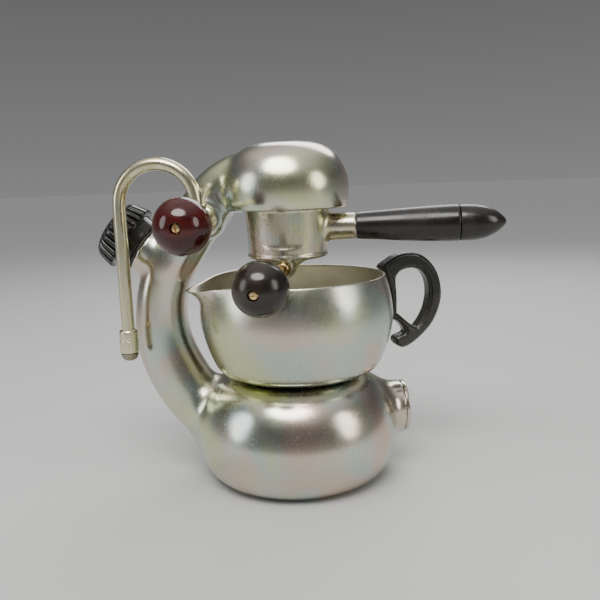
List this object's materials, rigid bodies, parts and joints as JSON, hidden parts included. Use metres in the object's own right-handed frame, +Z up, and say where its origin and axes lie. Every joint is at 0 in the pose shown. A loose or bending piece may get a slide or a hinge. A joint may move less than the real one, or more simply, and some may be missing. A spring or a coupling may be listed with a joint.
{
  "type": "stovetop espresso maker",
  "caption": "Stovetop espresso maker with curved hollow column, lock-in filter holder with tap, swivelling steam pipe, filler cap and loose milk jug.",
  "frame": {"origin": "middle of the base plate's underside", "axes": "+X the way the filter holder's handle points, -Y the side of the two ball knobs, +Z up"},
  "size_m": [0.2939, 0.1775, 0.2444],
  "materials": {
    "cast_aluminium": "polished casting, aged, with fine scratches",
    "holder_aluminium": "polished casting, pitted and streaked",
    "spun_aluminium": "polished spun sheet, satin inside",
    "pipe_nickel": "worn nickel plate, yellowed",
    "brass": "turned, tarnished",
    "black_bakelite": "polished phenolic, slightly worn",
    "red_bakelite": "polished oxblood phenolic",
    "rubber_seal": "matte",
    "pressed_steel": "pressed",
    "nozzle_dark": "scorched, dark"
  },
  "bodies": {
    "machine": {"base_plate": "cast_aluminium", "boiler_casting": "cast_aluminium", "column_casting": "cast_aluminium", "head_casting": "cast_aluminium", "riser_tube": "pressed_steel", "shower_screen": "pressed_steel", "shower_screw": "brass", "group_gasket": "rubber_seal", "steam_valve_body": "pipe_nickel", "steam_gland_nut": "pipe_nickel", "steam_pipe_nut": "pipe_nickel", "safety_valve_body": "brass", "safety_valve_cap": "cast_aluminium"},
    "filter_holder": {"filter_holder": "holder_aluminium", "filter_basket": "pressed_steel", "handle_stud": "pressed_steel", "handle_grip": "black_bakelite", "handle_end_cap": "black_bakelite", "tap_gland_nut": "brass"},
    "tap_spindle": {"tap_spindle": "brass"},
    "tap_knob": {"tap_knob": "black_bakelite", "tap_knob_screw": "brass"},
    "steam_spindle": {"steam_spindle": "brass"},
    "steam_knob": {"steam_knob": "red_bakelite", "steam_knob_screw": "brass"},
    "steam_pipe": {"steam_pipe": "pipe_nickel", "steam_nozzle_collar": "pipe_nickel", "steam_nozzle_tip": "nozzle_dark"},
    "filler_gasket": {"filler_gasket": "rubber_seal"},
    "filler_cap": {"filler_cap": "black_bakelite", "filler_cap_plug": "brass"},
    "jug": {"jug_body": "spun_aluminium", "jug_handle": "black_bakelite", "jug_rivet_upper": "pressed_steel", "jug_rivet_lower": "pressed_steel"},
    "safety_plunger": {"safety_plunger": "brass", "safety_spring": "pressed_steel"}
  },
  "joints": [
    {"name": "filter_holder_turn", "type": "hinge", "parent": "machine", "child": "filter_holder", "pos_m": [-0.0025, 0, 0.195], "axis": [0, 0, 1], "range_deg": [0, 30]},
    {"name": "tap_spindle_travel", "type": "slide", "parent": "filter_holder", "child": "tap_spindle", "axis": [-0.1397, -0.9867, -0.0835], "range_m": [0, 0.00187]},
    {"name": "tap_knob_turn", "type": "hinge", "parent": "tap_spindle", "child": "tap_knob", "pos_m": [-0.0115, -0.0855, 0.1525], "axis": [-0.1397, -0.9867, -0.0835], "range_deg": [0, 540]},
    {"name": "steam_spindle_travel", "type": "slide", "parent": "machine", "child": "steam_spindle", "axis": [0, -1, 0], "range_m": [0, 0.00187]},
    {"name": "steam_knob_turn", "type": "hinge", "parent": "steam_spindle", "child": "steam_knob", "pos_m": [-0.0581, -0.0847, 0.1921], "axis": [0, -1, 0], "range_deg": [0, 540]},
    {"name": "steam_pipe_swivel", "type": "hinge", "parent": "machine", "child": "steam_pipe", "pos_m": [-0.0608, -0.0315, 0.2], "axis": [0, 0, 1], "range_deg": [0, 64]},
    {"name": "filler_gasket_travel", "type": "slide", "parent": "machine", "child": "filler_gasket", "axis": [-0.8097, 0, 0.5868], "range_m": [0, 0.016]},
    {"name": "filler_cap_turn", "type": "hinge", "parent": "filler_gasket", "child": "filler_cap", "pos_m": [-0.1144, 0, 0.1764], "axis": [-0.8097, 0, 0.5868], "range_deg": [0, 1440]},
    {"name": "jug_slide", "type": "slide", "parent": "machine", "child": "jug", "axis": [1, 0, 0], "range_m": [0, 0.23]},
    {"name": "safety_valve_lift", "type": "slide", "parent": "machine", "child": "safety_plunger", "axis": [0.9781, 0.2079, 0], "range_m": [0, 0.0015], "stiffness_N_per_m": 800, "springref_m": -0.004}
  ],
  "couplings": [
    {"joint": "tap_knob_turn", "follows": "tap_spindle_travel", "rad_per_m": 5026.5},
    {"joint": "steam_knob_turn", "follows": "steam_spindle_travel", "rad_per_m": 5026.5},
    {"joint": "filler_cap_turn", "follows": "filler_gasket_travel", "rad_per_m": 1570.8}
  ]
}
